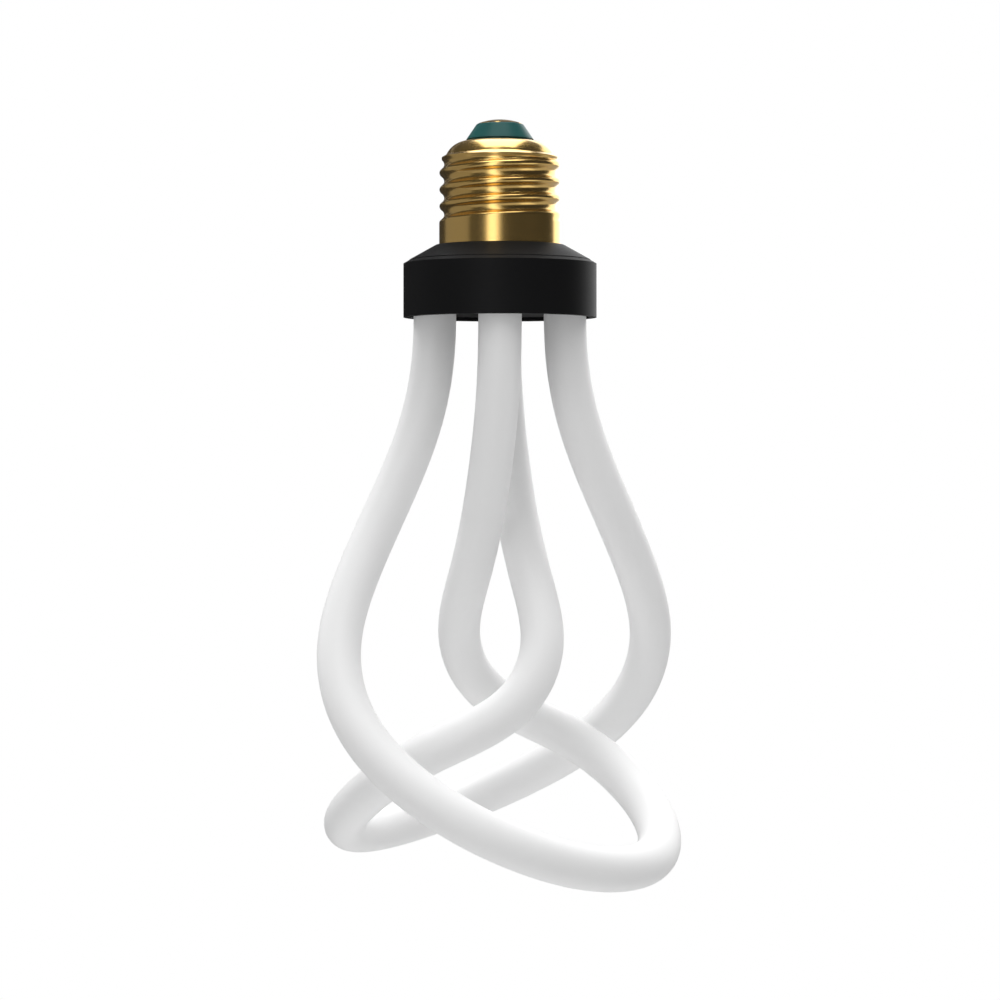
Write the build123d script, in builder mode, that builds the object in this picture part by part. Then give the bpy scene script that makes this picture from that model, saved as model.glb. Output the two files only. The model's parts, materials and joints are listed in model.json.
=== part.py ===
from build123d import *
from math import cos, radians, sin, sqrt, tan
import os

# Screw-cap LED bulb with two interlocked opal tubes, hanging cap up. Millimetres, +Z up along the axis.
# The origin is on that axis at the seat, the plane where the screw shell stands on the collar.

# Screw shell, a standard 27 mm cap of thin sheet
CREST_DIAMETER = 26.2
ROOT_DIAMETER = 24.2
SKIRT_DIAMETER = 26.3
THREAD_PITCH = 3.629
THREAD_START_HEIGHT = 3.85
THREAD_END_DROP = 3.0
THREAD_START_ANGLE = 90
RIDGE_BASE_WIDTH = 3.0
RIDGE_CREST_WIDTH = 1.0
RIDGE_FADE_DROP = 1.4
RIDGE_FADE_MARGIN = 0.1
SKIRT_HEIGHT = 5.3
SKIRT_ROUND = 0.5
SHELL_HEIGHT = 22.5
SHOULDER_RADIUS = 5.0
BEAD_DIAMETER = 25.2
BEAD_DROP = 3.6
BEAD_CREST_WIDTH = 0.2
BEAD_SLOPE_RISE = 1.2
BEAD_FALL = 1.1
LIP_WIDTH = 0.4
SHELL_WALL = 0.4

# Insulator and centre contact at the top of the cap
NOSE_BASE_DIAMETER = 14.6
NOSE_TOP_DIAMETER = 10.1
NOSE_HEIGHT = 3.7
NOSE_ROUND = 0.4
NOSE_FOOT_HEIGHT = 0.4
NOSE_SEAT_WIDTH = 0.25
STEM_DEPTH = 2.6
LOCK_RING_WIDTH = 0.8
LOCK_RING_HEIGHT = 1.4
CONTACT_DIAMETER = 9.4
CONTACT_HEIGHT = 1.0
CONTACT_EDGE_HEIGHT = 0.15
EYELET_DIAMETER = 3.2
EYELET_TAIL = 0.9

# Moulded collar: a coned cover with the neck for the cap, on a cup that holds the tubes
CONE_TOP_DIAMETER = 28.0
COLLAR_DIAMETER = 41.8
CONE_DROP = 4.0
COLLAR_HEIGHT = 15.6
COLLAR_WALL = 1.6
COVER_WALL = 2.1
UNDERSIDE_RECESS = 0.8
FLOOR_THICKNESS = 1.2
RIM_BEVEL_WIDTH = 1.3
SEAM_GAP = 0.1
NECK_HEIGHT = 16.0
NECK_WALL = 1.8
LEAD_SLOT_DEPTH = 5.0
SPIGOT_WALL = 1.5

# Opal tubes
TUBE_DIAMETER = 9.2
LEG_COUNT = 4
LEG_CIRCLE_RADIUS = 14.1
LEG_DROP = 9.5
SOCKET_WALL = 1.2
SOCKET_HEIGHT = 7.0
TUBE_STANDOFF = 0.5
# Corners of one tube's route below its legs: across, away from the viewer, drop from the collar's rim.
# It bulges on the left, sweeps down over the front, turns at the lower right and rises behind
# to the front leg.
TUBE_ROUTE = [
    (-17.5, -0.5, 25.0),
    (-23.5, -4.0, 39.5),
    (-30.0, -11.0, 54.0),
    (-34.5, -19.5, 69.0),
    (-31.5, -29.0, 83.2),
    (-21.5, -37.0, 94.7),
    (-7.5, -43.0, 103.7),
    (8.5, -43.0, 110.7),
    (22.5, -34.5, 114.7),
    (33.0, -20.0, 114.7),
    (34.5, -3.0, 109.2),
    (27.5, 11.5, 100.7),
    (15.0, 18.5, 91.7),
    (-3.0, 17.0, 84.2),
    (-10.3, 11.0, 70.3),
    (-6.3, 1.0, 55.5),
    (-3.3, -6.5, 41.5),
    (-1.0, -11.0, 24.5),
]
# Share of the shorter run beside a corner that its bend takes up
BEND_SHARE = 0.45

# Driver board and what it carries inside the collar
BOARD_THICKNESS = 1.6
CAPACITOR_DIAMETER = 8.0
CAPACITOR_HEIGHT = 14.0
CAPACITOR_PLACE = (4.6, 0)
CAPACITOR_ROUND = 0.6
CHOKE_DIAMETER = 7.0
CHOKE_WINDING_DIAMETER = 6.0
CHOKE_HEIGHT = 8.0
CHOKE_FLANGE = 1.2
CHOKE_PLACE = (-5.4, 0)
FUSE_DIAMETER = 3.0
FUSE_HEIGHT = 8.0
FUSE_ROUND = 0.5
FUSE_PLACE = (0, 7.2)
CHIP_LENGTH = 4.9
CHIP_WIDTH = 3.9
CHIP_HEIGHT = 1.5
CHIP_PLACE = (8.5, 8.5)
CHIP_PINS_A_SIDE = 4
CHIP_PIN_SPACING = 1.27
CHIP_PIN_WIDTH = 0.42
RECTIFIER_LENGTH = 4.7
RECTIFIER_WIDTH = 3.9
RECTIFIER_HEIGHT = 2.5
RECTIFIER_PLACE = (0, -9.5)
RECTIFIER_PINS_A_SIDE = 2
RECTIFIER_PIN_SPACING = 2.54
RECTIFIER_PIN_WIDTH = 0.7
PIN_REACH = 1.0
PIN_THICKNESS = 0.3
LEAD_DIAMETER = 0.8
SHELL_LEAD_BEND = 1.5
CENTRE_LEAD_BEND = 3.0
CENTRE_LEAD_RISE = 7.0
CENTRE_LEAD_JOG = 5.0
SHELL_LEAD_ANGLE = 225
SHELL_LEAD_INSET = 0.5
TUBE_LEAD_DIAMETER = 0.7
LEADS_A_LEG = 2
TUBE_LEAD_SPACING = 3.0
TUBE_LEAD_STUB = 0.8

# Fits, each the gap at one side
TUBE_CLEARANCE = 0.15
NECK_CLEARANCE = 0.1
NOSE_CLEARANCE = 0.1
EYELET_CLEARANCE = 0.05
SPIGOT_CLEARANCE = 0.1
BOARD_CLEARANCE = 0.3
LEAD_CLEARANCE = 0.1

# Heights and radii that several pieces share
root_radius = ROOT_DIAMETER / 2
crest_radius = CREST_DIAMETER / 2
skirt_radius = SKIRT_DIAMETER / 2
root_bore = root_radius - SHELL_WALL
skirt_bore = skirt_radius - SHELL_WALL
step_height = SKIRT_HEIGHT - SHELL_WALL
shoulder_height = SHELL_HEIGHT - SHOULDER_RADIUS
shoulder_centre = root_radius - SHOULDER_RADIUS
bead_radius = BEAD_DIAMETER / 2
bead_height = SHELL_HEIGHT - BEAD_DROP
crease_height = bead_height + BEAD_SLOPE_RISE
crease_radius = shoulder_centre + sqrt(SHOULDER_RADIUS**2 - (crease_height - shoulder_height) ** 2)
mouth_radius = shoulder_centre - LIP_WIDTH
nose_top = SHELL_HEIGHT + NOSE_HEIGHT
nose_foot_top = SHELL_HEIGHT + NOSE_FOOT_HEIGHT
nose_foot_radius = mouth_radius + NOSE_SEAT_WIDTH
contact_radius = CONTACT_DIAMETER / 2
contact_edge = nose_top + CONTACT_EDGE_HEIGHT
contact_top = nose_top + CONTACT_HEIGHT
dome_rise = contact_top - contact_edge
dome_radius = (contact_radius**2 + dome_rise**2) / (2 * dome_rise)
stem_radius = mouth_radius - NOSE_CLEARANCE
stem_bottom = SHELL_HEIGHT - STEM_DEPTH
eyelet_radius = EYELET_DIAMETER / 2
eyelet_hole_radius = eyelet_radius + EYELET_CLEARANCE
lead_radius = LEAD_DIAMETER / 2
eyelet_bore_radius = lead_radius + LEAD_CLEARANCE
underside = -COLLAR_HEIGHT
floor_bottom = underside + UNDERSIDE_RECESS
floor_top = floor_bottom + FLOOR_THICKNESS
socket_top = floor_top + SOCKET_HEIGHT
board_top = socket_top + BOARD_THICKNESS
leg_top = socket_top - TUBE_STANDOFF
collar_radius = COLLAR_DIAMETER / 2
cone_top_radius = CONE_TOP_DIAMETER / 2
cup_bore = collar_radius - COLLAR_WALL
cone_slope = CONE_DROP / (collar_radius - cone_top_radius)
rim_radius = collar_radius - RIM_BEVEL_WIDTH
rim_height = -CONE_DROP + RIM_BEVEL_WIDTH * cone_slope
neck_radius = root_bore - NECK_CLEARANCE
neck_foot_radius = skirt_bore - NECK_CLEARANCE
neck_foot_top = step_height - NECK_CLEARANCE
neck_bore = neck_radius - NECK_WALL
slot_bottom = NECK_HEIGHT - LEAD_SLOT_DEPTH
spigot_radius = cup_bore - SPIGOT_CLEARANCE
spigot_bore = spigot_radius - SPIGOT_WALL
board_radius = cup_bore - BOARD_CLEARANCE
tube_radius = TUBE_DIAMETER / 2
socket_bore = tube_radius + TUBE_CLEARANCE
tube_lead_radius = TUBE_LEAD_DIAMETER / 2
fuse_top = board_top + FUSE_HEIGHT


def bend_radii(corners):
    """The radius of the bend at each inner corner of a route, as large as the runs beside it allow."""
    radii = []
    for before, corner, after in zip(corners, corners[1:], corners[2:]):
        turn = (corner - before).get_angle(after - corner)
        shorter_run = min((corner - before).length, (after - corner).length)
        radii.append(BEND_SHARE * shorter_run / tan(radians(turn / 2)))
    return radii


os.makedirs("parts", exist_ok=True)

# Thread: a helical ridge, cut off by a rounded limit so that it runs out at the bead on the shell's shoulder
with BuildPart() as thread_ridge:
    with BuildLine() as helix:
        Helix(THREAD_PITCH, SHELL_HEIGHT - THREAD_END_DROP - THREAD_START_HEIGHT, root_radius)
    with BuildSketch(Plane.XZ) as ridge_section:
        with BuildLine():
            Polyline(
                (shoulder_centre, -RIDGE_BASE_WIDTH / 2),
                (root_radius, -RIDGE_BASE_WIDTH / 2),
                (crest_radius, -RIDGE_CREST_WIDTH / 2),
                (crest_radius, RIDGE_CREST_WIDTH / 2),
                (root_radius, RIDGE_BASE_WIDTH / 2),
                (shoulder_centre, RIDGE_BASE_WIDTH / 2),
                close=True,
            )
        make_face()
    sweep(path=helix.line, is_frenet=True)
turned_ridge = thread_ridge.part.rotate(Axis.Z, THREAD_START_ANGLE)

fade_outer_radius = crest_radius + RIDGE_FADE_MARGIN
fade_radius = fade_outer_radius - shoulder_centre
fade_height = shoulder_height - RIDGE_FADE_DROP
with BuildPart() as faded_ridge:
    with Locations((0, 0, THREAD_START_HEIGHT)):
        add(turned_ridge)
    with BuildSketch(Plane.XZ) as fade_limit:
        with BuildLine():
            limit_wall = Polyline((0, 0), (fade_outer_radius, 0), (fade_outer_radius, fade_height))
            limit_arc = RadiusArc(limit_wall @ 1, (shoulder_centre, fade_height + fade_radius), -fade_radius)
            Polyline(limit_arc @ 1, (0, fade_height + fade_radius), (0, 0))
        make_face()
    revolve(axis=Axis.Z, mode=Mode.INTERSECT)

# Screw shell: thin drawn sheet with a plain skirt, the thread, a bead below the rounded shoulder and a flat lip
with BuildPart() as screw_shell:
    with BuildSketch(Plane.XZ) as shell_outside:
        with BuildLine():
            skirt = Polyline((0, 0), (skirt_radius, 0), (skirt_radius, SKIRT_HEIGHT - SKIRT_ROUND))
            skirt_edge = RadiusArc(skirt @ 1, (skirt_radius - SKIRT_ROUND, SKIRT_HEIGHT), -SKIRT_ROUND)
            root = Polyline(
                skirt_edge @ 1,
                (root_radius, SKIRT_HEIGHT),
                (root_radius, bead_height - BEAD_FALL),
                (bead_radius, bead_height - BEAD_CREST_WIDTH / 2),
                (bead_radius, bead_height + BEAD_CREST_WIDTH / 2),
                (crease_radius, crease_height),
            )
            shoulder = RadiusArc(root @ 1, (shoulder_centre, SHELL_HEIGHT), -SHOULDER_RADIUS)
            Polyline(shoulder @ 1, (0, SHELL_HEIGHT), (0, 0))
        make_face()
    revolve(axis=Axis.Z)
    add(faded_ridge.part)
    with BuildSketch(Plane.XZ) as shell_inside:
        with BuildLine():
            wall = Polyline(
                (0, 0),
                (skirt_bore, 0),
                (skirt_bore, step_height),
                (root_bore, step_height),
                (root_bore, shoulder_height),
            )
            inner_shoulder = RadiusArc(
                wall @ 1, (shoulder_centre, SHELL_HEIGHT - SHELL_WALL), -(SHOULDER_RADIUS - SHELL_WALL)
            )
            Polyline(
                inner_shoulder @ 1,
                (mouth_radius, SHELL_HEIGHT - SHELL_WALL),
                (mouth_radius, SHELL_HEIGHT),
                (0, SHELL_HEIGHT),
                (0, 0),
            )
        make_face()
    revolve(axis=Axis.Z, mode=Mode.SUBTRACT)
screw_shell.part.label = "screw_shell"
export_step(screw_shell.part, "parts/screw_shell.step")

# Insulator: a coned nose on a narrower foot on the shell's lip, with a stem through the mouth and a lock ring
# below the lip
with BuildPart() as cap_insulator:
    with BuildSketch(Plane.XZ) as insulator_section:
        with BuildLine():
            Polyline(
                (eyelet_hole_radius, stem_bottom),
                (stem_radius + LOCK_RING_WIDTH, stem_bottom),
                (stem_radius + LOCK_RING_WIDTH, stem_bottom + LOCK_RING_HEIGHT),
                (stem_radius, stem_bottom + LOCK_RING_HEIGHT),
                (stem_radius, SHELL_HEIGHT),
                (nose_foot_radius, SHELL_HEIGHT),
                (nose_foot_radius, nose_foot_top),
                (NOSE_BASE_DIAMETER / 2, nose_foot_top),
                (NOSE_TOP_DIAMETER / 2, nose_top),
                (eyelet_hole_radius, nose_top),
                close=True,
            )
        make_face()
        fillet(insulator_section.vertices().group_by(Axis.Y)[-1].sort_by(Axis.X)[-1], NOSE_ROUND)
    revolve(axis=Axis.Z)
cap_insulator.part.label = "cap_insulator"
export_step(cap_insulator.part, "parts/cap_insulator.step")

# Centre contact: a low dome that nearly covers the nose, on an eyelet that takes the centre lead
with BuildPart() as contact_button:
    with BuildSketch(Plane.XZ) as contact_section:
        with BuildLine():
            eyelet = Polyline(
                (eyelet_bore_radius, nose_top),
                (eyelet_bore_radius, stem_bottom - EYELET_TAIL),
                (eyelet_radius, stem_bottom - EYELET_TAIL),
                (eyelet_radius, nose_top),
                (contact_radius, nose_top),
                (contact_radius, contact_edge),
            )
            dome = RadiusArc(eyelet @ 1, (0, contact_top), -dome_radius)
            Polyline(dome @ 1, (0, nose_top), eyelet @ 0)
        make_face()
    revolve(axis=Axis.Z)
contact_button.part.label = "contact_button"
export_step(contact_button.part, "parts/contact_button.step")

# Collar cover: the seat for the shell, the cone, the neck inside the shell and a spigot down onto the board
with BuildPart() as collar_cover:
    with BuildSketch(Plane.XZ) as cover_section:
        with BuildLine():
            Polyline(
                (neck_bore, NECK_HEIGHT),
                (neck_radius, NECK_HEIGHT),
                (neck_radius, neck_foot_top),
                (neck_foot_radius, neck_foot_top),
                (neck_foot_radius, 0),
                (cone_top_radius, 0),
                (rim_radius, rim_height + SEAM_GAP),
                (spigot_radius, rim_height + SEAM_GAP),
                (spigot_radius, board_top),
                (spigot_bore, board_top),
                (spigot_bore, -COVER_WALL - (spigot_bore - cone_top_radius) * cone_slope),
                (cone_top_radius, -COVER_WALL),
                (neck_bore, -COVER_WALL),
                close=True,
            )
        make_face()
    revolve(axis=Axis.Z)
    with BuildSketch(Plane.XY.offset(NECK_HEIGHT)) as lead_slot:
        with PolarLocations(neck_bore + NECK_WALL / 2, 1, SHELL_LEAD_ANGLE):
            Rectangle(2 * NECK_WALL, LEAD_DIAMETER + 2 * LEAD_CLEARANCE)
    extrude(amount=-LEAD_SLOT_DEPTH, mode=Mode.SUBTRACT)
collar_cover.part.label = "collar_cover"
export_step(collar_cover.part, "parts/collar_cover.step")

# Collar cup: the outer wall with its bevelled rim, the recessed underside and a socket for each tube leg
with BuildPart() as collar_cup:
    with BuildSketch(Plane.XZ) as cup_section:
        with BuildLine():
            Polyline(
                (0, floor_bottom),
                (cup_bore, floor_bottom),
                (cup_bore, underside),
                (collar_radius, underside),
                (collar_radius, -CONE_DROP),
                (rim_radius, rim_height),
                (cup_bore, rim_height),
                (cup_bore, floor_top),
                (0, floor_top),
                close=True,
            )
        make_face()
    revolve(axis=Axis.Z)
    with BuildSketch(Plane.XY.offset(floor_top)) as socket_walls:
        with PolarLocations(LEG_CIRCLE_RADIUS, LEG_COUNT):
            Circle(socket_bore + SOCKET_WALL)
        Circle(cup_bore + COLLAR_WALL / 2, mode=Mode.INTERSECT)
    extrude(amount=SOCKET_HEIGHT)
    with BuildSketch(Plane.XY.offset(underside)) as socket_bores:
        with PolarLocations(LEG_CIRCLE_RADIUS, LEG_COUNT):
            Circle(socket_bore)
    extrude(amount=socket_top - underside, mode=Mode.SUBTRACT)
collar_cup.part.label = "collar_cup"
export_step(collar_cup.part, "parts/collar_cup.step")

# Opal tubes: a round section swept along the route from the left leg to the front leg,
# and the same again half a turn on
tube_corners = [
    Vector(-LEG_CIRCLE_RADIUS, 0, leg_top),
    Vector(-LEG_CIRCLE_RADIUS, 0, underside - LEG_DROP),
    *[Vector(across, away, underside - drop) for across, away, drop in TUBE_ROUTE],
    Vector(0, -LEG_CIRCLE_RADIUS, underside - LEG_DROP),
    Vector(0, -LEG_CIRCLE_RADIUS, leg_top),
]
with BuildPart() as front_tube:
    with BuildLine() as tube_path:
        FilletPolyline(*tube_corners, radius=bend_radii(tube_corners))
    with BuildSketch(Plane(tube_corners[0], z_dir=(0, 0, -1))) as tube_section:
        Circle(tube_radius)
    sweep(path=tube_path.line)
front_tube.part.label = "front_tube"
export_step(front_tube.part, "parts/front_tube.step")

with BuildPart() as rear_tube:
    add(front_tube.part.rotate(Axis.Z, 180))
rear_tube.part.label = "rear_tube"
export_step(rear_tube.part, "parts/rear_tube.step")

# Driver board on the sockets, with a pair of holes for the leads of each tube leg
with BuildPart() as driver_board:
    with BuildSketch(Plane.XY.offset(socket_top)) as board_outline:
        Circle(board_radius)
        with PolarLocations(LEG_CIRCLE_RADIUS, LEG_COUNT):
            with GridLocations(0, TUBE_LEAD_SPACING, 1, LEADS_A_LEG):
                Circle(tube_lead_radius + LEAD_CLEARANCE, mode=Mode.SUBTRACT)
    extrude(amount=BOARD_THICKNESS)
driver_board.part.label = "driver_board"
export_step(driver_board.part, "parts/driver_board.step")

# Tube leads: two straight wires from the end of each leg up through the board
with BuildPart() as tube_leads:
    with BuildSketch(Plane.XY.offset(leg_top)) as tube_lead_ends:
        with PolarLocations(LEG_CIRCLE_RADIUS, LEG_COUNT):
            with GridLocations(0, TUBE_LEAD_SPACING, 1, LEADS_A_LEG):
                Circle(tube_lead_radius)
    extrude(amount=TUBE_STANDOFF + BOARD_THICKNESS + TUBE_LEAD_STUB)
tube_leads.part.label = "tube_leads"
export_step(tube_leads.part, "parts/tube_leads.step")

# Filter capacitor: a round can up inside the neck
with BuildPart() as filter_capacitor:
    with BuildSketch(Plane((*CAPACITOR_PLACE, board_top))) as can_outline:
        Circle(CAPACITOR_DIAMETER / 2)
    extrude(amount=CAPACITOR_HEIGHT)
    fillet(filter_capacitor.edges().group_by(Axis.Z)[-1], CAPACITOR_ROUND)
filter_capacitor.part.label = "filter_capacitor"
export_step(filter_capacitor.part, "parts/filter_capacitor.step")

# Choke: a drum core with its winding between two flanges
with BuildPart() as choke:
    with BuildSketch(Plane((*CHOKE_PLACE, board_top))) as winding_outline:
        Circle(CHOKE_WINDING_DIAMETER / 2)
    extrude(amount=CHOKE_HEIGHT)
    with BuildSketch(
        Plane((*CHOKE_PLACE, board_top)), Plane((*CHOKE_PLACE, board_top + CHOKE_HEIGHT - CHOKE_FLANGE))
    ) as flange_outline:
        Circle(CHOKE_DIAMETER / 2)
    extrude(amount=CHOKE_FLANGE)
choke.part.label = "choke"
export_step(choke.part, "parts/choke.step")

# Fuse resistor standing on the board
with BuildPart() as fuse_resistor:
    with BuildSketch(Plane((*FUSE_PLACE, board_top))) as fuse_outline:
        Circle(FUSE_DIAMETER / 2)
    extrude(amount=FUSE_HEIGHT)
    fillet(fuse_resistor.edges().group_by(Axis.Z)[-1], FUSE_ROUND)
fuse_resistor.part.label = "fuse_resistor"
export_step(fuse_resistor.part, "parts/fuse_resistor.step")

# Driver chip and rectifier: flat moulded packages with rows of pins on the board
with BuildPart() as driver_chip:
    with BuildSketch(Plane((*CHIP_PLACE, board_top))) as chip_outline:
        Rectangle(CHIP_LENGTH, CHIP_WIDTH)
    extrude(amount=CHIP_HEIGHT)
    with BuildSketch(Plane((*CHIP_PLACE, board_top))) as chip_pins:
        with GridLocations(CHIP_PIN_SPACING, 0, CHIP_PINS_A_SIDE, 1):
            Rectangle(CHIP_PIN_WIDTH, CHIP_WIDTH + 2 * PIN_REACH)
    extrude(amount=PIN_THICKNESS)
driver_chip.part.label = "driver_chip"
export_step(driver_chip.part, "parts/driver_chip.step")

with BuildPart() as rectifier:
    with BuildSketch(Plane((*RECTIFIER_PLACE, board_top))) as rectifier_outline:
        Rectangle(RECTIFIER_LENGTH, RECTIFIER_WIDTH)
    extrude(amount=RECTIFIER_HEIGHT)
    with BuildSketch(Plane((*RECTIFIER_PLACE, board_top))) as rectifier_pins:
        with GridLocations(RECTIFIER_PIN_SPACING, 0, RECTIFIER_PINS_A_SIDE, 1):
            Rectangle(RECTIFIER_PIN_WIDTH, RECTIFIER_WIDTH + 2 * PIN_REACH)
    extrude(amount=PIN_THICKNESS)
rectifier.part.label = "rectifier"
export_step(rectifier.part, "parts/rectifier.step")

# Centre lead: from the fuse resistor up the neck and into the contact's eyelet
with BuildPart() as centre_lead:
    with BuildLine(Plane.YZ.offset(FUSE_PLACE[0])) as centre_lead_path:
        FilletPolyline(
            (FUSE_PLACE[1], fuse_top),
            (FUSE_PLACE[1], fuse_top + CENTRE_LEAD_RISE),
            (0, fuse_top + CENTRE_LEAD_RISE + CENTRE_LEAD_JOG),
            (0, SHELL_HEIGHT),
            radius=CENTRE_LEAD_BEND,
        )
    with BuildSketch(Plane((*FUSE_PLACE, fuse_top))) as centre_lead_section:
        Circle(lead_radius)
    sweep(path=centre_lead_path.line)
centre_lead.part.label = "centre_lead"
export_step(centre_lead.part, "parts/centre_lead.step")

# Shell lead: from the board up the neck, out through its slot and along the inside of the screw shell
lead_way = Vector(cos(radians(SHELL_LEAD_ANGLE)), sin(radians(SHELL_LEAD_ANGLE)), 0)
inner_reach = neck_bore - SHELL_LEAD_INSET - lead_radius
outer_reach = root_bore - LEAD_CLEARANCE / 2 - lead_radius
lead_plane = Plane((0, 0, 0), x_dir=lead_way, z_dir=lead_way.cross(Vector(0, 0, 1)))
with BuildPart() as shell_lead:
    with BuildLine(lead_plane) as shell_lead_path:
        FilletPolyline(
            (inner_reach, board_top),
            (inner_reach, slot_bottom + SHELL_LEAD_BEND),
            (outer_reach, slot_bottom + SHELL_LEAD_BEND + outer_reach - inner_reach),
            (outer_reach, NECK_HEIGHT),
            radius=SHELL_LEAD_BEND,
        )
    with BuildSketch(Plane(lead_way * inner_reach + Vector(0, 0, board_top))) as shell_lead_section:
        Circle(lead_radius)
    sweep(path=shell_lead_path.line)
shell_lead.part.label = "shell_lead"
export_step(shell_lead.part, "parts/shell_lead.step")
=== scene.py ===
import json
from math import asin, atan2, ceil, cos, hypot, pi, radians, sin, sqrt, tan

import bpy
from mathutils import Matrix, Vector


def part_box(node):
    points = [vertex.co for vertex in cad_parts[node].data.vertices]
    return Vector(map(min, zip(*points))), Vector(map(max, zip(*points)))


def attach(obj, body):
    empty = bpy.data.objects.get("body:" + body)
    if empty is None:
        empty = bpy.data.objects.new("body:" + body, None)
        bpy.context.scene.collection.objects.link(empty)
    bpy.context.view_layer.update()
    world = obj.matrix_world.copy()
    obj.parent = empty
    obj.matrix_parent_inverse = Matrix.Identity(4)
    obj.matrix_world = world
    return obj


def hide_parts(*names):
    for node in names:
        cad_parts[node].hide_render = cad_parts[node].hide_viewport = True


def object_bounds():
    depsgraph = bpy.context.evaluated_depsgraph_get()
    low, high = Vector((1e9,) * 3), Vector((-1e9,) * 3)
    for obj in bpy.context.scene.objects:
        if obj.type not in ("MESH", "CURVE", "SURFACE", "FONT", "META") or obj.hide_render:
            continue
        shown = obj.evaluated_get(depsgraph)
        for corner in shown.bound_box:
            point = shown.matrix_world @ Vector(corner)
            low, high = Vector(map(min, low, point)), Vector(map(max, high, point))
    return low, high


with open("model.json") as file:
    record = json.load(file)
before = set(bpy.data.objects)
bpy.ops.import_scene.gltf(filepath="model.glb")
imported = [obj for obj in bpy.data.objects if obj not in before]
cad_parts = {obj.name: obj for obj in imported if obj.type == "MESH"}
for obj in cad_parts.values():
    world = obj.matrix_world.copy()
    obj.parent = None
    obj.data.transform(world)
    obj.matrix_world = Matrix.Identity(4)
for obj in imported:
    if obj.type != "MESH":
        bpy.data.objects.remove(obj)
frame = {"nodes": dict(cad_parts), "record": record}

cad_low, cad_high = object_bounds()

# Screw-cap LED bulb with two interlocked opal tubes. Lengths are millimetres, in the part's own frame:
# the origin is on the cap's axis at the seat, +Z up to the contact, X right and Y away in the photograph.
MM = 0.001

# Camera: how far it stands from the axis and below the seat, and what it sees
CAMERA_DISTANCE = 600.0
CAMERA_DROP = 41.9
PIXELS_PER_MM = 4.62
FRAME_PIXELS = 1000
HORIZON_ROW = 439
SENSOR_WIDTH = 36.0

# Screw shell in thin sheet: plain skirt, rolled round thread, bead and rounded shoulder
SHELL_HEIGHT = 22.5
SHELL_WALL = 0.4
LIP_WIDTH = 0.4
SHOULDER_RADIUS = 5.0
SKIRT_RADIUS = 13.15
SKIRT_HEIGHT = 5.3
SKIRT_ROUND = 0.5
# Above its rounded edge the skirt falls to the thread's root within this height
SKIRT_STEP = 0.25
CREST_RADIUS = 13.1
ROOT_RADIUS = 12.1
THREAD_PITCH = 3.629
CREST_ARC = 0.75
ROOT_ARC = 1.3
THREAD_CREST_AT_LEFT = 15.644
# A crest no higher than this above the skirt runs into it, and one twice as high stands free
JOIN_WIDTH = 0.9
BEAD_RADIUS = 12.6
BEAD_HEIGHT = 18.9
BEAD_CREST_WIDTH = 0.2
BEAD_SLOPE_RISE = 0.62
BEAD_FALL = 0.85
# The thread fades out under an arc that starts at this height, this far outside its crests
FADE_START = 16.1
FADE_MARGIN = 0.1
BLEND_WIDTH = 0.12
SHELL_ROWS = 180
SHOULDER_ROWS = 30
SHELL_COLUMNS = 240

# Opal tubes
TUBE_RADIUS = 4.6
LEG_CIRCLE_RADIUS = 14.1
LEG_DROP = 9.5
# Corners of one tube's route below its legs: across, away from the viewer, drop from the collar's rim
TUBE_ROUTE = [
    (-17.5, -0.5, 25.0),
    (-23.5, -4.0, 39.5),
    (-30.0, -11.0, 54.0),
    (-34.5, -19.5, 69.0),
    (-31.5, -29.0, 83.2),
    (-21.5, -37.0, 94.7),
    (-7.5, -43.0, 103.7),
    (8.5, -43.0, 110.7),
    (22.5, -34.5, 114.7),
    (33.0, -20.0, 114.7),
    (34.5, -3.0, 109.2),
    (27.5, 11.5, 100.7),
    (15.0, 18.5, 91.7),
    (-3.0, 17.0, 84.2),
    (-10.3, 11.0, 70.3),
    (-6.3, 1.0, 55.5),
    (-3.3, -6.5, 41.5),
    (-1.0, -11.0, 24.5),
]
# How far a corner is pushed out, so that the smooth line cuts it no more than the solid's bends do
CORNER_PUSH = 0.054
STEPS_A_RUN = 16
TUBE_SIDES = 64

# Edges that turn by more degrees than this are drawn sharp
SHARP_ANGLE = 40

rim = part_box("collar_cup")[0].z / MM
leg_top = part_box("front_tube")[1].z / MM

skirt_top = SKIRT_HEIGHT - SKIRT_ROUND
shoulder_centre = ROOT_RADIUS - SHOULDER_RADIUS
shoulder_height = SHELL_HEIGHT - SHOULDER_RADIUS
crease_height = BEAD_HEIGHT + BEAD_SLOPE_RISE
crease_angle = asin((crease_height - shoulder_height) / SHOULDER_RADIUS)


# Meshes

def mesh_from_rings(name, rings, joined):
    """A mesh from rings of points. joined closes the rings into a loop; otherwise the ends are capped."""
    count = len(rings[0])
    points = [tuple(MM * value for value in point) for ring in rings for point in ring]
    faces = []
    last = len(rings) if joined else len(rings) - 1
    for row in range(last):
        here = row * count
        there = (row + 1) % len(rings) * count
        for column in range(count):
            beside = (column + 1) % count
            faces.append((here + column, here + beside, there + beside, there + column))
    if not joined:
        faces.append(tuple(reversed(range(count))))
        faces.append(tuple(range((len(rings) - 1) * count, len(rings) * count)))
    mesh = bpy.data.meshes.new(name)
    mesh.from_pydata(points, [], faces)
    mesh.polygons.foreach_set("use_smooth", [True] * len(mesh.polygons))
    mesh.set_sharp_from_angle(angle=radians(SHARP_ANGLE))
    return mesh


def add_piece(name, mesh, node, material):
    """A piece that stands for a solid of the frame and rides on the one body."""
    piece = bpy.data.objects.new(name, mesh)
    bpy.context.scene.collection.objects.link(piece)
    mesh.materials.append(material)
    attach(piece, "root")
    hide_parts(node)


# Tubes

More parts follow.
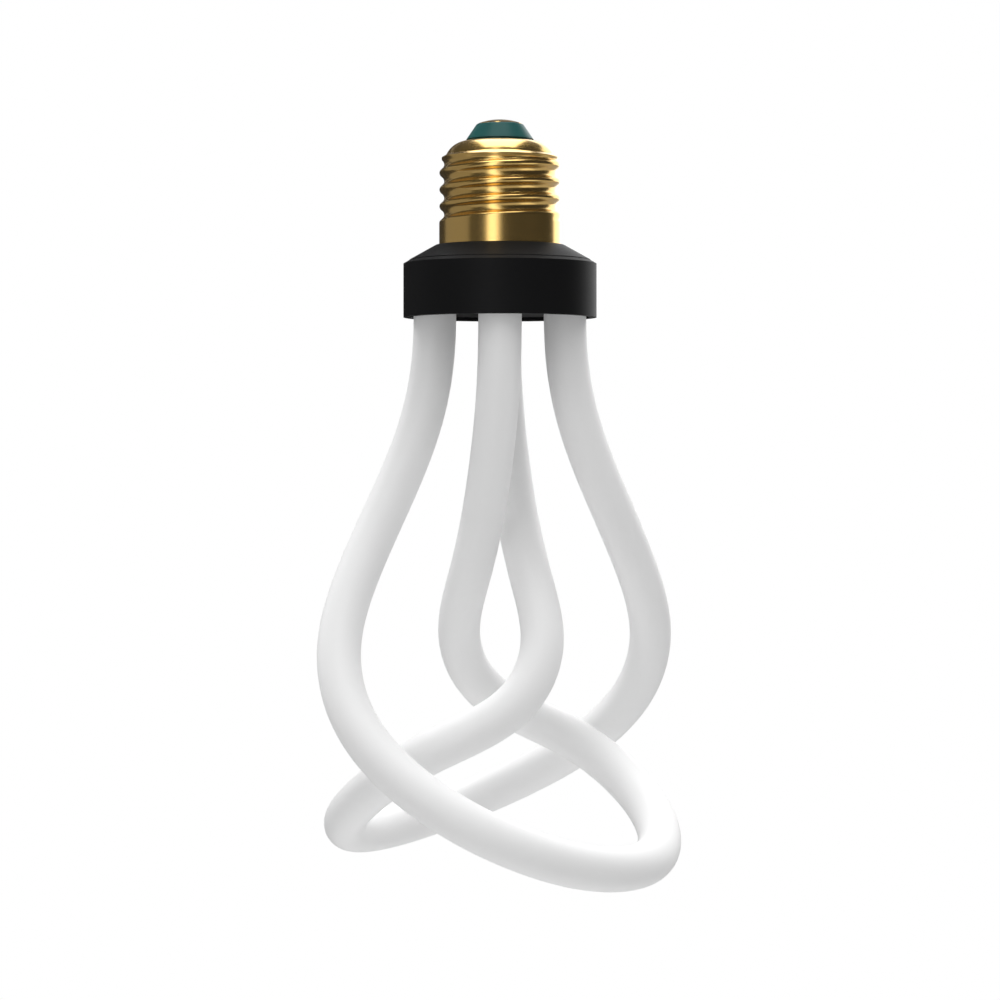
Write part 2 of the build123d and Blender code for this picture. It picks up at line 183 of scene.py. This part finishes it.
def smooth_line(corners):
    """Points along a cubic B-spline that rounds the corners of a route."""
    pushed = [corners[0]]
    for before, corner, after in zip(corners, corners[1:], corners[2:]):
        pushed.append(corner - CORNER_PUSH * (before - 2 * corner + after))
    pushed.append(corners[-1])
    held = [2 * pushed[0] - pushed[1], *pushed, 2 * pushed[-1] - pushed[-2]]
    points = []
    for a, b, c, d in zip(held, held[1:], held[2:], held[3:]):
        for step in range(STEPS_A_RUN):
            t = step / STEPS_A_RUN
            b_share = 3 * t**3 - 6 * t**2 + 4
            c_share = -3 * t**3 + 3 * t**2 + 3 * t + 1
            points.append((a * (1 - t) ** 3 + b * b_share + c * c_share + d * t**3) / 6)
    points.append(corners[-1])
    return points


def tube_rings(line):
    """Circles round a line, each turned as little as possible from the one before."""
    rings = []
    side = Vector((0, 1, 0))
    for index, point in enumerate(line):
        ahead = line[min(index + 1, len(line) - 1)]
        behind = line[max(index - 1, 0)]
        along = (ahead - behind).normalized()
        side = (side - along * side.dot(along)).normalized()
        other = along.cross(side)
        ring = []
        for step in range(TUBE_SIDES):
            angle = 2 * pi * step / TUBE_SIDES
            ring.append(point + TUBE_RADIUS * (cos(angle) * side + sin(angle) * other))
        rings.append(ring)
    return rings


def tube_mesh(name, turn):
    """One opal tube. turn is 1 for the front one and -1 for the same half a turn on."""
    corners = [
        Vector((-LEG_CIRCLE_RADIUS, 0, leg_top)),
        Vector((-LEG_CIRCLE_RADIUS, 0, rim - LEG_DROP)),
        *[Vector((across, away, rim - drop)) for across, away, drop in TUBE_ROUTE],
        Vector((0, -LEG_CIRCLE_RADIUS, rim - LEG_DROP)),
        Vector((0, -LEG_CIRCLE_RADIUS, leg_top)),
    ]
    turned = [Vector((turn * corner.x, turn * corner.y, corner.z)) for corner in corners]
    return mesh_from_rings(name, tube_rings(smooth_line(turned)), joined=False)


# Screw shell

def ease(value):
    """A smooth step from 0 to 1."""
    value = min(1, max(0, value))
    return value * value * (3 - 2 * value)


def smooth_least(first, second):
    """The lesser of two values, with the corner between them rounded off."""
    return (first + second - hypot(first - second, BLEND_WIDTH)) / 2


def line_at(height, start, end):
    """Radius at a height on the straight line through two points, each given as (height, radius)."""
    share = (height - start[0]) / (end[0] - start[0])
    return start[1] + share * (end[1] - start[1])


def thread_rise(offset):
    """Height of the rolled thread above its root, at an offset along the axis from a crest."""
    half = THREAD_PITCH / 2
    depth = CREST_RADIUS - ROOT_RADIUS
    arcs = CREST_ARC + ROOT_ARC
    flank = asin(arcs / hypot(half, arcs - depth)) - atan2(arcs - depth, half)
    along = abs((offset + half) % THREAD_PITCH - half)
    crest_end = CREST_ARC * sin(flank)
    if along < crest_end:
        return depth - CREST_ARC + sqrt(CREST_ARC**2 - along**2)
    if along > half - ROOT_ARC * sin(flank):
        return ROOT_ARC - sqrt(ROOT_ARC**2 - (half - along) ** 2)
    return depth - CREST_ARC * (1 - cos(flank)) - tan(flank) * (along - crest_end)


def thread_radius(height, crest):
    """Radius of the thread at a height, given one crest's height. A low crest runs into the skirt."""
    first = crest + THREAD_PITCH * ceil((skirt_top - crest) / THREAD_PITCH)
    joined = 1 - ease((first - SKIRT_HEIGHT - JOIN_WIDTH) / JOIN_WIDTH)
    rise = thread_rise(height - crest) if height > skirt_top else 0
    if height < first:
        rise += joined * (SKIRT_RADIUS - ROOT_RADIUS - rise)
    elif height < first + THREAD_PITCH / 2:
        rise *= 1 + joined * (SKIRT_RADIUS - CREST_RADIUS)
    return ROOT_RADIUS + rise


def skirt_radius(height):
    """Radius of the plain skirt at a height, which falls away above its rounded top edge."""
    if height <= skirt_top:
        return SKIRT_RADIUS
    if height <= SKIRT_HEIGHT:
        return SKIRT_RADIUS - SKIRT_ROUND + sqrt(max(0, SKIRT_ROUND**2 - (height - skirt_top) ** 2))
    fall = (height - SKIRT_HEIGHT) / SKIRT_STEP
    if fall > 1:
        return 0
    return SKIRT_RADIUS - SKIRT_ROUND - fall * (SKIRT_RADIUS - SKIRT_ROUND - ROOT_RADIUS)


def bead_radius(height, thread):
    """Radius at a height where the thread fades out and the bead slopes up to the shoulder."""
    foot = (BEAD_HEIGHT - BEAD_FALL, ROOT_RADIUS)
    lower = (BEAD_HEIGHT - BEAD_CREST_WIDTH / 2, BEAD_RADIUS)
    upper = (BEAD_HEIGHT + BEAD_CREST_WIDTH / 2, BEAD_RADIUS)
    crease = (crease_height, shoulder_centre + SHOULDER_RADIUS * cos(crease_angle))
    slope = line_at(height, upper, crease)
    fade_arc = CREST_RADIUS + FADE_MARGIN - shoulder_centre
    fade = shoulder_centre + sqrt(fade_arc**2 - (height - FADE_START) ** 2)
    bead = smooth_least(line_at(height, foot, lower), slope)
    return max(smooth_least(thread, smooth_least(fade, slope)), bead)


def shoulder_point(arc, tilt):
    """Radius and height of a point on an arc of the shoulder, tilt up from level."""
    return shoulder_centre + arc * cos(tilt), shoulder_height + arc * sin(tilt)


def shell_outside(angle):
    """Radii and heights of the shell's outside at an angle round the axis, from the seat to the lip."""
    crest = THREAD_CREST_AT_LEFT + THREAD_PITCH * (angle - pi) / (2 * pi)
    outline = [(SKIRT_RADIUS, 0)]
    for row in range(1, SHELL_ROWS):
        height = crease_height * row / SHELL_ROWS
        radius = thread_radius(height, crest)
        if height > FADE_START:
            radius = bead_radius(height, radius)
        outline.append((max(skirt_radius(height), radius), height))
    for row in range(SHOULDER_ROWS + 1):
        tilt = crease_angle + (pi / 2 - crease_angle) * row / SHOULDER_ROWS
        outline.append(shoulder_point(SHOULDER_RADIUS, tilt))
    return outline


def shell_inside():
    """Radii and heights of the shell's plain inside, from the mouth down to the seat."""
    mouth = shoulder_centre - LIP_WIDTH
    under_lip = SHELL_HEIGHT - SHELL_WALL
    under_step = SKIRT_HEIGHT - SHELL_WALL
    bore = ROOT_RADIUS - SHELL_WALL
    skirt_bore = SKIRT_RADIUS - SHELL_WALL
    outline = [(mouth, SHELL_HEIGHT), (mouth, under_lip), (shoulder_centre, under_lip)]
    for row in range(1, SHOULDER_ROWS + 1):
        tilt = pi / 2 * (1 - row / SHOULDER_ROWS)
        outline.append(shoulder_point(SHOULDER_RADIUS - SHELL_WALL, tilt))
    return outline + [(bore, under_step), (skirt_bore, under_step), (skirt_bore, 0)]


def shell_mesh(name):
    """The drawn shell: its wall's outline, outside and inside, carried round the axis."""
    inside = shell_inside()
    rings = []
    for column in range(SHELL_COLUMNS):
        angle = 2 * pi * column / SHELL_COLUMNS
        outline = shell_outside(angle) + inside
        rings.append([(radius * cos(angle), radius * sin(angle), height) for radius, height in outline])
    return mesh_from_rings(name, rings, joined=True)


# Materials: scales of noise are features a millimetre

CLOUD_DETAIL = 3.0
METAL_CLOUDS = 0.12
METAL_LINES = (0.15, 0.15, 6.0)
METAL_LINE_DETAIL = 2.0
METAL_LINE_SMOOTHER = 0.04
METAL_LINE_ROUGHER = 0.05
METAL_RELIEF = 0.15
METAL_RELIEF_DEPTH = 0.02
MOULDING_CLOUDS = 0.08
GRAIN_DETAIL = 4.0
GRAIN_ROUGHNESS = 0.06
GRAIN_RELIEF = 0.25

# Drawn metals by slot: light colour, dark colour, roughness
METALS = {
    "cap_brass": ((0.80, 0.54, 0.19), (0.72, 0.47, 0.16), 0.22),
    "contact_brass": ((0.82, 0.56, 0.20), (0.74, 0.48, 0.16), 0.14),
    "bare_wire": ((0.64, 0.64, 0.62), (0.56, 0.56, 0.54), 0.30),
}

# Mouldings by slot: light colour, dark colour, roughness, scale and depth of the grain, specular level
MOULDINGS = {
    "insulator": ((0.016, 0.098, 0.092), (0.013, 0.085, 0.080), 0.35, 2.0, 0.01, 0.14),
    "collar": ((0.0065, 0.0065, 0.007), (0.0050, 0.0050, 0.0055), 0.50, 3.0, 0.015, 0.10),
    "opal": ((0.92, 0.92, 0.92), (0.90, 0.90, 0.90), 0.50, 0.5, 0.01, 0.25),
    "board": ((0.020, 0.130, 0.050), (0.016, 0.110, 0.042), 0.40, 1.5, 0.01, 0.5),
    "can_sleeve": ((0.012, 0.014, 0.020), (0.010, 0.012, 0.017), 0.25, 1.0, 0.01, 0.5),
    "component": ((0.018, 0.018, 0.019), (0.013, 0.013, 0.014), 0.60, 4.0, 0.02, 0.4),
    "resistor": ((0.11, 0.18, 0.17), (0.09, 0.15, 0.14), 0.45, 2.0, 0.02, 0.5),
    "wire_sleeve": ((0.62, 0.62, 0.60), (0.57, 0.57, 0.55), 0.35, 2.0, 0.01, 0.5),
}


def new_material(name):
    """A new material with its node tree and its shader, which is joined to the output."""
    material = bpy.data.materials.new(name)
    material.use_nodes = True
    return material, material.node_tree, material.node_tree.nodes["Principled BSDF"]


def add_node(tree, kind, **values):
    """A node with its settings; names that start with in_ are values of its sockets."""
    node = tree.nodes.new(kind)
    for key, value in values.items():
        if key.startswith("in_"):
            node.inputs[key.removeprefix("in_").replace("_", " ")].default_value = value
        else:
            setattr(node, key, value)
    return node


def noise(tree, scale, detail, stretch=(1, 1, 1)):
    """Noise in the object's own space, in features a millimetre; stretch scales it along each axis."""
    place = add_node(tree, "ShaderNodeTexCoord")
    mapping = add_node(tree, "ShaderNodeMapping")
    mapping.inputs["Scale"].default_value = [scale / MM * value for value in stretch]
    grain = add_node(tree, "ShaderNodeTexNoise", in_Scale=1.0, in_Detail=detail)
    tree.links.new(place.outputs["Object"], mapping.inputs["Vector"])
    tree.links.new(mapping.outputs["Vector"], grain.inputs["Vector"])
    return grain.outputs["Fac"]


def between(tree, factor, low, high):
    """Maps a factor from 0 to 1 onto low to high."""
    spread = add_node(tree, "ShaderNodeMapRange", in_To_Min=low, in_To_Max=high)
    tree.links.new(factor, spread.inputs["Value"])
    return spread.outputs["Result"]


def colours(tree, factor, low, high):
    """Mixes two colours by a factor."""
    mix = add_node(tree, "ShaderNodeMix", data_type="RGBA")
    mix.inputs["A"].default_value = (*low, 1)
    mix.inputs["B"].default_value = (*high, 1)
    tree.links.new(factor, mix.inputs["Factor"])
    return mix.outputs["Result"]


def bump(tree, shader, height, strength, depth):
    """Fine relief on a shader, depth in millimetres."""
    relief = add_node(tree, "ShaderNodeBump", in_Strength=strength, in_Distance=depth * MM)
    tree.links.new(height, relief.inputs["Height"])
    tree.links.new(relief.outputs["Normal"], shader.inputs["Normal"])


def drawn_metal(name, light, dark, roughness):
    """Drawn metal: cloudy tone, and fine lines round the axis in its roughness and relief."""
    material, tree, shader = new_material(name)
    shader.inputs["Metallic"].default_value = 1.0
    clouds = noise(tree, METAL_CLOUDS, CLOUD_DETAIL)
    tree.links.new(colours(tree, clouds, dark, light), shader.inputs["Base Color"])
    lines = noise(tree, 1.0, METAL_LINE_DETAIL, METAL_LINES)
    low, high = roughness - METAL_LINE_SMOOTHER, roughness + METAL_LINE_ROUGHER
    tree.links.new(between(tree, lines, low, high), shader.inputs["Roughness"])
    bump(tree, shader, lines, METAL_RELIEF, METAL_RELIEF_DEPTH)
    return material


def moulding(name, light, dark, roughness, grain_scale, grain_depth, specular):
    """Moulded plastic: cloudy tone, and a fine grain in its roughness and relief."""
    material, tree, shader = new_material(name)
    shader.inputs["Specular IOR Level"].default_value = specular
    clouds = noise(tree, MOULDING_CLOUDS, CLOUD_DETAIL)
    tree.links.new(colours(tree, clouds, dark, light), shader.inputs["Base Color"])
    grain = noise(tree, grain_scale, GRAIN_DETAIL)
    low, high = roughness - GRAIN_ROUGHNESS, roughness + GRAIN_ROUGHNESS
    tree.links.new(between(tree, grain, low, high), shader.inputs["Roughness"])
    bump(tree, shader, grain, GRAIN_RELIEF, grain_depth)
    return material


MATERIALS = {
    **{slot: drawn_metal(slot, *values) for slot, values in METALS.items()},
    **{slot: moulding(slot, *values) for slot, values in MOULDINGS.items()},
}


def dress_nodes():
    """Gives every solid of the frame the material of its slot."""
    for row in frame["record"]["subparts"]:
        mesh = frame["nodes"][row["node"]].data
        mesh.materials.clear()
        mesh.materials.append(MATERIALS[row["material_slot"]])


# Stage

WHITE = (1, 1, 1, 1)
FLOOR_DROP = 900.0
FLOOR_SIZE = 9000.0
FLOOR_GREY = 0.75
FLOOR_ROUGHNESS = 0.9
HORIZON_LIGHT = 0.10
OVERHEAD_LIGHT = 1.9

# A bright panel overhead that only reflections see: front and back are along Y
CEILING_HEIGHT = 300.0
CEILING_FRONT = -95.0
CEILING_FRONT_WIDTH = 234.0
CEILING_BACK = 330.0
CEILING_BACK_WIDTH = 160.0
CEILING_LIGHT = 3.6

# Cards that only reflections see: start and end bearing in degrees from the viewer's side, positive to
# the right, then low and high elevation, then the shade. Where no card is, reflections see white.
CARD_DISTANCE = 800.0
CARD_STEP = 6.0
CARDS = [
    ("strip_light", -22, -6, -50, 55, 2.2),
    ("front_right_dark", 0, 121, -8, 89, 0.042),
    ("front_left_dark", -60, -26, -8, 89, 0.065),
    ("left_tan", -126, -60, -45, 25, 0.31),
    ("left_high_dark", -176, -60, 26, 89, 0.07),
    ("back_left_dark", -184, -126, -45, 12, 0.05),
    ("back_left_high_dark", -177, -126, 13, 25, 0.05),
    ("back_right_light", 122, 175, -5, 36, 2.0),
    ("back_right_low", 122, 175, -60, -6, 0.48),
    ("right_high_dark", 122, 176, 37, 89, 0.08),
    ("back_dark", 175, 183, 12, 17, 0.08),
    ("back_high_dark", 175, 184, 18, 41, 0.20),
    ("low_front_left", -60, -23, -42, -9, 0.40),
    ("low_front_left_dark", -60, -23, -60, -43, 0.20),
    ("low_front_right", -5, 45, -42, -9, 0.50),
    ("low_front_right_dark", -5, 45, -60, -43, 0.20),
    ("low_right_light", 45, 78, -40, -9, 1.2),
    ("low_right_light_dark", 45, 78, -60, -41, 0.15),
    ("low_right", 78, 121, -33, -9, 0.55),
    ("low_right_dark", 78, 121, -60, -34, 0.15),
    ("low_left", -178, -60, -60, -46, 0.25),
    ("low_middle", 0, 360, -89, -61, 0.15),
]

# Square lamps that reflections don't see: bearing, elevation, watts
LAMP_DISTANCE = 900.0
LAMP_SIZE = 300.0
LAMPS = [
    ("key_lamp", -30, 5, 0.45),
    ("top_lamp", 0, 75, 1.0),
    ("back_left_lamp", -135, 35, 3.0),
    ("back_right_lamp", 135, 35, 1.7),
]


def join_white(tree, plain, white, target):
    """Shows white to camera, glossy and transmission rays, and the plain shader to the rest."""
    path = add_node(tree, "ShaderNodeLightPath")
    either = add_node(tree, "ShaderNodeMath", operation="MAXIMUM")
    seen = add_node(tree, "ShaderNodeMath", operation="MAXIMUM")
    mix = add_node(tree, "ShaderNodeMixShader")
    tree.links.new(path.outputs["Is Camera Ray"], either.inputs[0])
    tree.links.new(path.outputs["Is Glossy Ray"], either.inputs[1])
    tree.links.new(either.outputs["Value"], seen.inputs[0])
    tree.links.new(path.outputs["Is Transmission Ray"], seen.inputs[1])
    tree.links.new(seen.outputs["Value"], mix.inputs["Fac"])
    tree.links.new(plain, mix.inputs[1])
    tree.links.new(white, mix.inputs[2])
    tree.links.new(mix.outputs["Shader"], target)


def add_floor():
    """A wide pale floor well below the hanging bulb, white to the camera and to reflections."""
    half = FLOOR_SIZE / 2 * MM
    height = -FLOOR_DROP * MM
    corners = [(-half, -half, height), (half, -half, height), (half, half, height), (-half, half, height)]
    mesh = bpy.data.meshes.new("floor")
    mesh.from_pydata(corners, [], [(0, 1, 2, 3)])
    material, tree, shader = new_material("floor_paint")
    shader.inputs["Base Color"].default_value = (FLOOR_GREY, FLOOR_GREY, FLOOR_GREY, 1)
    shader.inputs["Roughness"].default_value = FLOOR_ROUGHNESS
    glow = add_node(tree, "ShaderNodeEmission", in_Strength=1.0)
    surface = tree.nodes["Material Output"].inputs["Surface"]
    join_white(tree, shader.outputs["BSDF"], glow.outputs["Emission"], surface)
    mesh.materials.append(material)
    floor = bpy.data.objects.new("floor", mesh)
    bpy.context.scene.collection.objects.link(floor)


def add_world():
    """Soft light that is strongest overhead, with a white background."""
    world = bpy.data.worlds.new("studio")
    world.use_nodes = True
    tree = world.node_tree
    place = add_node(tree, "ShaderNodeTexCoord")
    axes = add_node(tree, "ShaderNodeSeparateXYZ")
    above = add_node(tree, "ShaderNodeMath", operation="MAXIMUM")
    above.inputs[1].default_value = 0
    square = add_node(tree, "ShaderNodeMath", operation="MULTIPLY")
    level = add_node(tree, "ShaderNodeMath", operation="MULTIPLY_ADD")
    level.inputs[1].default_value = OVERHEAD_LIGHT
    level.inputs[2].default_value = HORIZON_LIGHT
    soft = tree.nodes["Background"]
    soft.inputs["Color"].default_value = WHITE
    tree.links.new(place.outputs["Generated"], axes.inputs["Vector"])
    tree.links.new(axes.outputs["Z"], above.inputs[0])
    tree.links.new(above.outputs["Value"], square.inputs[0])
    tree.links.new(above.outputs["Value"], square.inputs[1])
    tree.links.new(square.outputs["Value"], level.inputs[0])
    tree.links.new(level.outputs["Value"], soft.inputs["Strength"])
    white = add_node(tree, "ShaderNodeBackground", in_Strength=1.0)
    white.inputs["Color"].default_value = WHITE
    surface = tree.nodes["World Output"].inputs["Surface"]
    join_white(tree, soft.outputs["Background"], white.outputs["Background"], surface)
    bpy.context.scene.world = world


def add_glow(name, points, faces, grey):
    """A glowing surface of the stage that only reflections see."""
    mesh = bpy.data.meshes.new(name)
    mesh.from_pydata(points, [], faces)
    material, tree, _ = new_material(name)
    glow = add_node(tree, "ShaderNodeEmission", in_Strength=1.0)
    glow.inputs["Color"].default_value = (grey, grey, grey, 1)
    tree.links.new(glow.outputs["Emission"], tree.nodes["Material Output"].inputs["Surface"])
    mesh.materials.append(material)
    card = bpy.data.objects.new(name, mesh)
    bpy.context.scene.collection.objects.link(card)
    card.visible_camera = False
    card.visible_diffuse = False
    card.visible_shadow = False


def add_card(name, start, end, low, high, grey):
    """One of the cards: a patch of a sphere round the bulb that glows with its shade."""
    across = ceil((end - start) / CARD_STEP)
    upward = ceil((high - low) / CARD_STEP)
    points, faces = [], []
    for column in range(across + 1):
        bearing = radians(start + (end - start) * column / across)
        for row in range(upward + 1):
            elevation = radians(low + (high - low) * row / upward)
            flat = CARD_DISTANCE * MM * cos(elevation)
            height = CARD_DISTANCE * MM * sin(elevation)
            points.append((flat * sin(bearing), -flat * cos(bearing), height))
    for column in range(across):
        for row in range(upward):
            here = column * (upward + 1) + row
            beside = here + upward + 1
            faces.append((here, beside, beside + 1, here + 1))
    add_glow(name, points, faces, grey)


def add_ceiling():
    """The panel overhead, from in front of the bulb to behind it, narrower at the back."""
    near, far = CEILING_FRONT_WIDTH / 2 * MM, CEILING_BACK_WIDTH / 2 * MM
    front, back, height = CEILING_FRONT * MM, CEILING_BACK * MM, CEILING_HEIGHT * MM
    corners = [(-near, front, height), (near, front, height), (far, back, height), (-far, back, height)]
    add_glow("ceiling_light", corners, [(0, 1, 2, 3)], CEILING_LIGHT)


def add_lamp(name, bearing, elevation, watts):
    """A soft lamp aimed at the middle of the bulb."""
    lamp = bpy.data.lights.new(name, "AREA")
    lamp.shape = "SQUARE"
    lamp.size = LAMP_SIZE * MM
    lamp.energy = watts
    stand = bpy.data.objects.new(name, lamp)
    bpy.context.scene.collection.objects.link(stand)
    middle = (cad_low + cad_high) / 2
    bearing, elevation = radians(bearing), radians(elevation)
    away = Vector((sin(bearing) * cos(elevation), -cos(bearing) * cos(elevation), sin(elevation)))
    stand.location = middle + away * LAMP_DISTANCE * MM
    stand.rotation_euler = away.to_track_quat("Z", "Y").to_euler()
    stand.visible_glossy = False
    stand.visible_camera = False


def add_camera():
    """The photograph's camera: level, in front of the axis, its frame slid down to take the tubes in."""
    camera = bpy.data.cameras.new("camera")
    camera.sensor_width = SENSOR_WIDTH
    camera.lens = PIXELS_PER_MM * CAMERA_DISTANCE * SENSOR_WIDTH / FRAME_PIXELS
    camera.shift_y = (HORIZON_ROW - FRAME_PIXELS / 2) / FRAME_PIXELS
    stand = bpy.data.objects.new("camera", camera)
    bpy.context.scene.collection.objects.link(stand)
    stand.location = (0, -CAMERA_DISTANCE * MM, -CAMERA_DROP * MM)
    stand.rotation_euler = (pi / 2, 0, 0)
    bpy.context.scene.camera = stand


dress_nodes()
add_piece("front_opal_tube", tube_mesh("front_opal_tube", 1), "front_tube", MATERIALS["opal"])
add_piece("rear_opal_tube", tube_mesh("rear_opal_tube", -1), "rear_tube", MATERIALS["opal"])
add_piece("rolled_shell", shell_mesh("rolled_shell"), "screw_shell", MATERIALS["cap_brass"])

add_floor()
add_world()
for card in CARDS:
    add_card(*card)
add_ceiling()
for lamp in LAMPS:
    add_lamp(*lamp)
add_camera()
bpy.context.scene.view_settings.view_transform = "Standard"
